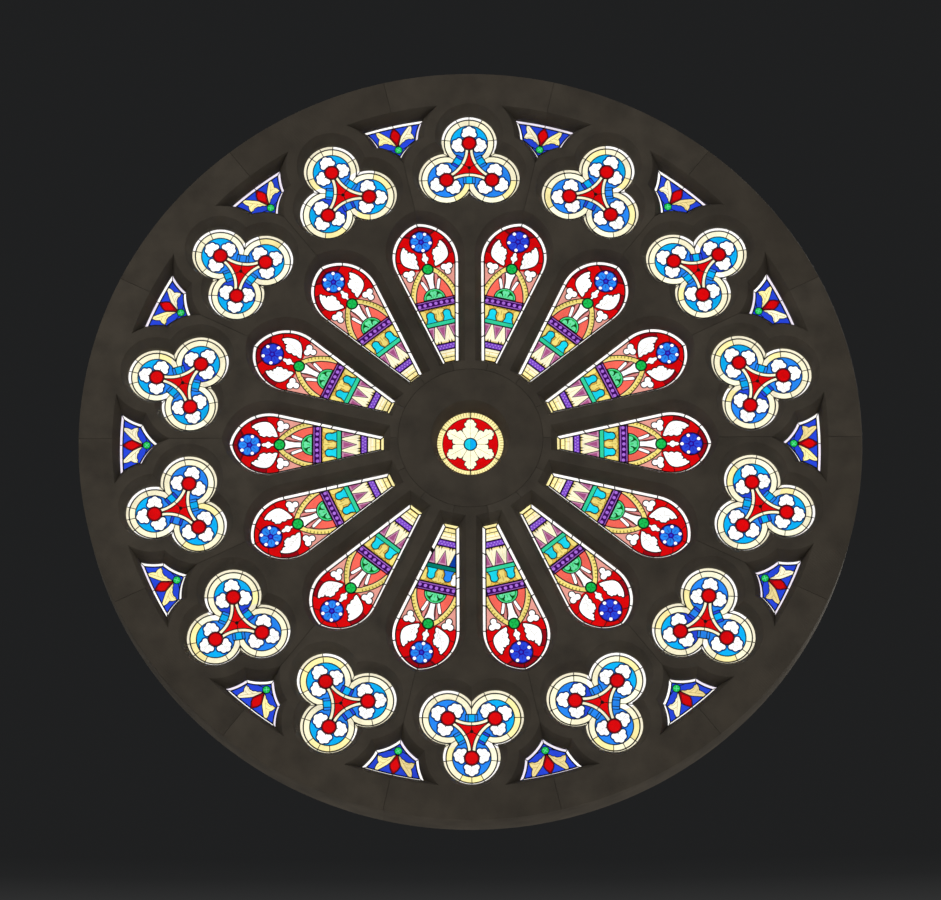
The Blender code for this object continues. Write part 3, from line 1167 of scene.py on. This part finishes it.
SPANDREL_STEP = 0.0005125
SPANDREL_SHEET_TOP = 2.542
SPANDREL_FILLET = FILLET * 0.9


def spandrel_points(points):
    return [(across * SPANDREL_STEP, SPANDREL_SHEET_TOP - down * SPANDREL_STEP) for across, down in points]


def spandrel_cartoon(number):
    cartoon = Cartoon(spandrel_outline, SPANDREL_FILLET, SPANDREL_SEED + number)
    cartoon.glass(cartoon.field, "royal")
    notches = spandrel_points([
        (250, 266), (222, 382), (250, 452), (264, 490), (206, 476), (150, 464), (106, 487), (52, 517),
        (12, 546), (24, 508), (48, 458), (74, 404), (104, 370), (166, 312), (212, 272),
    ])
    wing = scallops(notches, (-0.10, -0.10, 0.16, 0.16, 0.16, 0.16, 0.14, 0.08) + (0,) * 7, 5)
    ribs = [
        spandrel_points([(30, 518), (100, 440), (170, 370), (228, 304)]),
        spandrel_points([(100, 440), (176, 436), (238, 468)]),
        spandrel_points([(150, 390), (196, 392), (212, 408)]),
    ]

    def draw(outline, *lines):
        cartoon.leaded(outline, cartoon.random.choice(("cream", "straw", "buff")), FINE_CAME)
        for line in lines:
            cartoon.stroke(line, 4 * SPANDREL_STEP, "olive")

    on_both_sides(draw, wing, *ribs)
    right = spandrel_points([
        (0, 540), (20, 505), (46, 455), (70, 408), (72, 376), (54, 330), (28, 292), (0, 262),
    ])
    heart = right + mirrored(right[:-1])
    cartoon.leaded(heart, "garnet", FINE_CAME)
    core = spandrel_points([(0, 480), (40, 440), (84, 385), (62, 340), (0, 300)])
    core = [(x * 0.66, r) for x, r in core]
    cartoon.glass(core + mirrored(core[:-1]), "ruby")
    knob = spandrel_points([(0, 590)])[0]
    cartoon.leaded(disc(knob, 52 * SPANDREL_STEP, 28), "emerald", FINE_CAME)
    for k in range(4):
        ends = [add(knob, polar(r * SPANDREL_STEP, math.pi * (k + 0.5) / 2)) for r in (0, 36)]
        cartoon.stroke(ends, 9 * SPANDREL_STEP, "mint")
    for side in (-1, 1):
        for x, down, end_x, end_down in ((258, 464, 330, 470), (262, 290, 300, 250), (50, 590, 120, 570)):
            cartoon.lead(spandrel_points([(side * x, down), (side * end_x, end_down)]), FINE_CAME)
    side = 2 * SPANDREL_STEPS
    end = len(cartoon.field)
    joints = [0, side // 2, side, 3 * side // 2, 2 * side, end - SPANDREL_STEPS, end]
    for first, last in zip(joints, joints[1:]):
        cartoon.fillet(first, last, cartoon.random.choice(("pearl", "fillet")))
        ends = [at_index(spandrel_outline(grow), first) for grow in (REBATE / 2, -SPANDREL_FILLET)]
        cartoon.border_lead(ends)
    return cartoon


ROUNDEL_RING = 0.037  # width of the straw border
ROUNDEL_TICKS = 72
TICK_DEPTH = 0.026


def roundel_cartoon():
    cartoon = Cartoon(roundel_outline, ROUNDEL_RING, ROUNDEL_SEED, border_came=FINE_CAME)
    step = SPANDREL_STEP
    cartoon.glass(roundel_outline(REBATE - FIT_GAP), "straw", border=True)
    tick = [(-0.0009, ROUNDEL_R - TICK_DEPTH), (0.0009, ROUNDEL_R - TICK_DEPTH)]
    tick += [(0.0022, ROUNDEL_R), (-0.0022, ROUNDEL_R)]
    for k in range(ROUNDEL_TICKS):
        turn = 2 * math.pi * (k + 0.5) / ROUNDEL_TICKS
        cartoon.glass(turned(tick, turn), "olive", border=True)
    cartoon.glass(cartoon.field, "ruby")
    right = [(0, 362), (30, 352), (56, 333), (54, 316), (80, 302), (86, 284), (78, 262), (64, 244)]
    right += [(92, 232), (110, 214), (110, 196), (100, 176), (40, 70), (0, 70)]
    half = [(x * step, r * step) for x, r in right]
    leaf = half[::-1] + mirrored(half[::-1])[1:-1]
    tip = half[:12]
    for k in range(6):
        turn = math.pi * k / 3
        cartoon.glass(turned(leaf, turn), "ivory")
        cartoon.lead(turned(tip[::-1] + mirrored(tip[::-1])[1:], turn), FINE_CAME)
        cartoon.lead([polar(340 * step, turn), polar(372 * step, turn)], FINE_CAME)
        cartoon.stroke(turned([(0, 90 * step), (0, 300 * step)], turn), 4 * step, "olive")
        for side in (-1, 1):
            for start, x, end in ((150, 70, 200), (220, 56, 282), (290, 26, 332)):
                vein = [(0, start * step), (side * x * step, end * step)]
                cartoon.stroke(turned(vein, turn), 3 * step, "straw")
        cartoon.border_lead([polar(ROUNDEL_R + grow, turn) for grow in (REBATE / 2, -ROUNDEL_RING)], CAME)
    for k in range(6):
        ends = [polar(r * step, math.pi * (k + 0.5) / 3) for r in (84, 202)]
        cartoon.stroke(ends, 6 * step, "olive")
    cartoon.leaded(disc((0, 0), 86 * step, 36), "cobalt")
    cartoon.glass(disc((0, 0), 76 * step, 32), "cyan")
    cartoon.glass(arc((0, 0), 76 * step, 0.1, math.pi - 0.1, 18), "sky")
    cartoon.stroke([(0, -72 * step), (4 * step, 10 * step), (0, 72 * step)], 4 * step, "cobalt")
    return cartoon


# Placing

def place(name, mesh, node, slot, turn):
    """Turns a mesh clockwise about the window's centre and makes it the visible form of a node."""
    mesh.transform(Matrix.Translation((0, 0, CENTRE_Z)) @ Matrix.Rotation(turn, 4, "Y"))
    piece = bpy.data.objects.new(name, mesh)
    bpy.context.scene.collection.objects.link(piece)
    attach(piece, "root")
    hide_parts(node)
    if slot == "limestone":
        piece.visible_transmission = False  # so that the glass is evenly backlit up to its edges


def with_tone(mesh, tone):
    """A stone's mesh with the shade of its own block."""
    mesh.attributes.new("tone", "FLOAT", "FACE").data.foreach_set("value", [tone] * len(mesh.polygons))
    mesh.materials.append(LIMESTONE)
    return mesh


HUB_TONE = 0.4


def build_window():
    shades = random.Random(STONE_SEED)
    hub = pierced_stone("hub", hub_boundary, roundel_outline, ROUNDEL_CHAMFER_DEPTH)
    place("carved_hub", with_tone(hub, HUB_TONE), "hub_stone", "limestone", 0)
    sector = pierced_stone("tracery", sector_boundary, trefoil_outline, CHAMFER_DEPTH)
    panel = roundel_cartoon().mesh("roundel")
    place("leaded_roundel", panel, "roundel_glazing", "roundel_glass", 0)
    for number in range(1, SECTORS + 1):
        axis = 2 * (number - 1) * HALF_PITCH
        stone = with_tone(sector.copy(), shades.random())
        place(f"carved_tracery_{number:02d}", stone, f"tracery_stone_{number:02d}", "limestone", axis)
        for kind, cartoon, turn in (
            ("trefoil", trefoil_cartoon, axis),
            ("petal", petal_cartoon, axis + HALF_PITCH),
            ("spandrel", spandrel_cartoon, axis + HALF_PITCH),
        ):
            mesh = cartoon(number).mesh(f"{kind}_{number:02d}")
            node = f"{kind}_glazing_{number:02d}"
            place(f"leaded_{kind}_{number:02d}", mesh, node, f"{kind}_glass", turn)


# Camera, light and floor

CAMERA_DISTANCE = 33.09
CAMERA_ELEVATION = math.radians(-17.761)  # the viewer looks up at the window
CAMERA_AZIMUTH = math.radians(-0.275)
CAMERA_ROLL = math.radians(-0.254)
CAMERA_TARGET = Vector((0.0005, 0, CENTRE_Z - 0.0425))
SENSOR_WIDTH = 36.0
FRAME_WIDTH = 941
FOCAL_PIXELS = 4781.8
EYE_HEIGHT = 1.6
FLOOR_R = 90
FLOOR_STEPS = 96
FLOOR_COLOUR = (0.72, 0.71, 0.69, 1)
LAMP_COLOUR = (1.0, 0.97, 0.92)


def add_camera():
    azimuth, elevation = CAMERA_AZIMUTH, CAMERA_ELEVATION
    back = Vector((
        math.sin(azimuth) * math.cos(elevation),
        -math.cos(azimuth) * math.cos(elevation),
        math.sin(elevation),
    ))
    right = (-back).cross(Vector((0, 0, 1))).normalized()
    up = right.cross(-back)
    c, s = math.cos(CAMERA_ROLL), math.sin(CAMERA_ROLL)
    right, up = right * c + up * s, up * c - right * s
    camera = bpy.data.objects.new("camera", bpy.data.cameras.new("camera"))
    rotation = Matrix((right, up, back)).transposed().to_4x4()
    camera.matrix_world = Matrix.Translation(CAMERA_TARGET + back * CAMERA_DISTANCE) @ rotation
    camera.data.sensor_width = SENSOR_WIDTH
    camera.data.lens = FOCAL_PIXELS * SENSOR_WIDTH / FRAME_WIDTH
    camera.data.clip_end = 500
    bpy.context.scene.collection.objects.link(camera)
    bpy.context.scene.camera = camera
    return camera


def glow_through_glass(nodes, links, plain):
    """The shader to use where a surface is seen through glass is a bright even glow; elsewhere it is plain."""
    path = nodes.new("ShaderNodeLightPath")
    mix = nodes.new("ShaderNodeMixShader")
    glow = nodes.new("ShaderNodeEmission")
    glow.inputs["Color"].default_value = (1, 1, 1, 1)
    glow.inputs["Strength"].default_value = GLOW
    links.new(path.outputs["Is Transmission Ray"], mix.inputs["Fac"])
    links.new(plain, mix.inputs[1])
    links.new(glow.outputs[0], mix.inputs[2])
    return mix.outputs[0]


def set_world():
    """A plain backdrop that pales towards the horizon, and soft even light."""
    world = bpy.data.worlds.new("studio")
    bpy.context.scene.world = world
    world.use_nodes = True
    nodes, links = world.node_tree.nodes, world.node_tree.links
    nodes.clear()
    direction = nodes.new("ShaderNodeTexCoord")
    split = nodes.new("ShaderNodeSeparateXYZ")
    links.new(direction.outputs["Generated"], split.inputs[0])
    ramp = nodes.new("ShaderNodeValToRGB")
    links.new(split.outputs["Z"], ramp.inputs["Fac"])
    ramp.color_ramp.elements[0].position = 0.0
    ramp.color_ramp.elements[0].color = (0.50, 0.50, 0.49, 1)
    ramp.color_ramp.elements[1].position = 0.22
    ramp.color_ramp.elements[1].color = (0.014, 0.0145, 0.015, 1)
    backdrop = nodes.new("ShaderNodeBackground")
    links.new(ramp.outputs["Color"], backdrop.inputs["Color"])
    soft = nodes.new("ShaderNodeBackground")
    soft.inputs["Color"].default_value = (1.0, 0.98, 0.95, 1)
    soft.inputs["Strength"].default_value = 0.12
    path = nodes.new("ShaderNodeLightPath")
    mix = nodes.new("ShaderNodeMixShader")
    links.new(path.outputs["Is Diffuse Ray"], mix.inputs["Fac"])
    links.new(backdrop.outputs[0], mix.inputs[1])
    links.new(soft.outputs[0], mix.inputs[2])
    output = nodes.new("ShaderNodeOutputWorld")
    links.new(glow_through_glass(nodes, links, mix.outputs[0]), output.inputs["Surface"])


def add_floor(camera):
    height = camera.matrix_world.translation.z - EYE_HEIGHT
    mesh = bpy.data.meshes.new("floor")
    edge = [(x, y, height) for x, y in disc((0, 0), FLOOR_R, FLOOR_STEPS)]
    mesh.from_pydata(edge, [], [tuple(range(FLOOR_STEPS))])
    material, nodes, links, shader = new_material("pale_floor")
    shader.inputs["Base Color"].default_value = FLOOR_COLOUR
    shader.inputs["Roughness"].default_value = 0.7
    lift = nodes.new("ShaderNodeEmission")
    lift.inputs["Color"].default_value = FLOOR_COLOUR
    lift.inputs["Strength"].default_value = 0.55
    path = nodes.new("ShaderNodeLightPath")
    seen = nodes.new("ShaderNodeMixShader")
    links.new(path.outputs["Is Camera Ray"], seen.inputs["Fac"])
    links.new(shader.outputs[0], seen.inputs[1])
    links.new(lift.outputs[0], seen.inputs[2])
    output = nodes["Material Output"]
    links.new(glow_through_glass(nodes, links, seen.outputs[0]), output.inputs["Surface"])
    mesh.materials.append(material)
    floor = bpy.data.objects.new("floor", mesh)
    bpy.context.scene.collection.objects.link(floor)


def add_softbox(name, position, size, power):
    light = bpy.data.lights.new(name, "AREA")
    light.shape = "DISK"
    light.size = size
    light.energy = power
    light.color = LAMP_COLOUR
    lamp = bpy.data.objects.new(name, light)
    lamp.location = position
    aim = CAMERA_TARGET - Vector(position)
    lamp.rotation_euler = aim.to_track_quat("-Z", "Y").to_euler()
    lamp.visible_camera = False
    lamp.visible_transmission = False
    bpy.context.scene.collection.objects.link(lamp)


build_window()
the_camera = add_camera()
set_world()
add_floor(the_camera)
add_softbox("front_key", (-9, -14, 12), 6, 340)
add_softbox("front_fill", (11, -12, -2), 8, 110)
add_softbox("back_key", (9, 14, 12), 6, 2000)
bpy.context.scene.view_settings.view_transform = "Standard"
